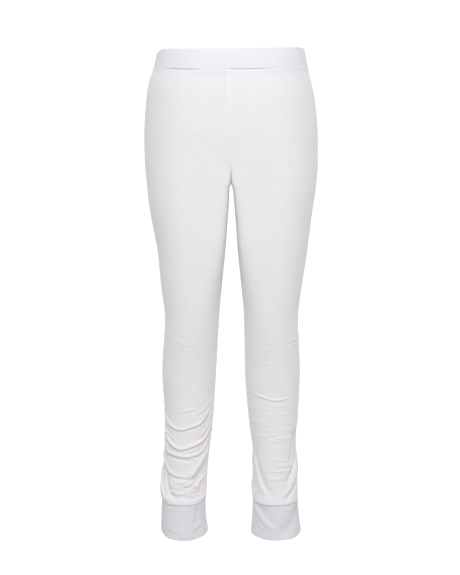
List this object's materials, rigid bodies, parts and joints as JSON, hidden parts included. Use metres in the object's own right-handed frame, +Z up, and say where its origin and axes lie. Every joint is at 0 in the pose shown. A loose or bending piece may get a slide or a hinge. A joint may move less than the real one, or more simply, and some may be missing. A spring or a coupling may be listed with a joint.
{
  "type": "pyjama pants",
  "caption": "Slim full-length jersey pyjama pants filled out as worn, open at the waist and cuffs, with an elastic waistband and cuffed ankles where the cloth bunches.",
  "frame": {"origin": "middle of the waistband ring, half way up it, where the wearer's waist holds the garment", "axes": "+Z up the wearer, -Y out of the garment's front, +X towards the wearer's left"},
  "size_m": [0.3459, 0.235, 0.9881],
  "materials": {
    "waistband": "smooth knit casing over elastic",
    "leg_jersey": "fine matt jersey",
    "cuff_jersey": "doubled fine matt jersey"
  },
  "bodies": {
    "root": {"waistband": "waistband", "right_leg": "leg_jersey", "left_leg": "leg_jersey", "right_cuff": "cuff_jersey", "left_cuff": "cuff_jersey"}
  },
  "joints": []
}
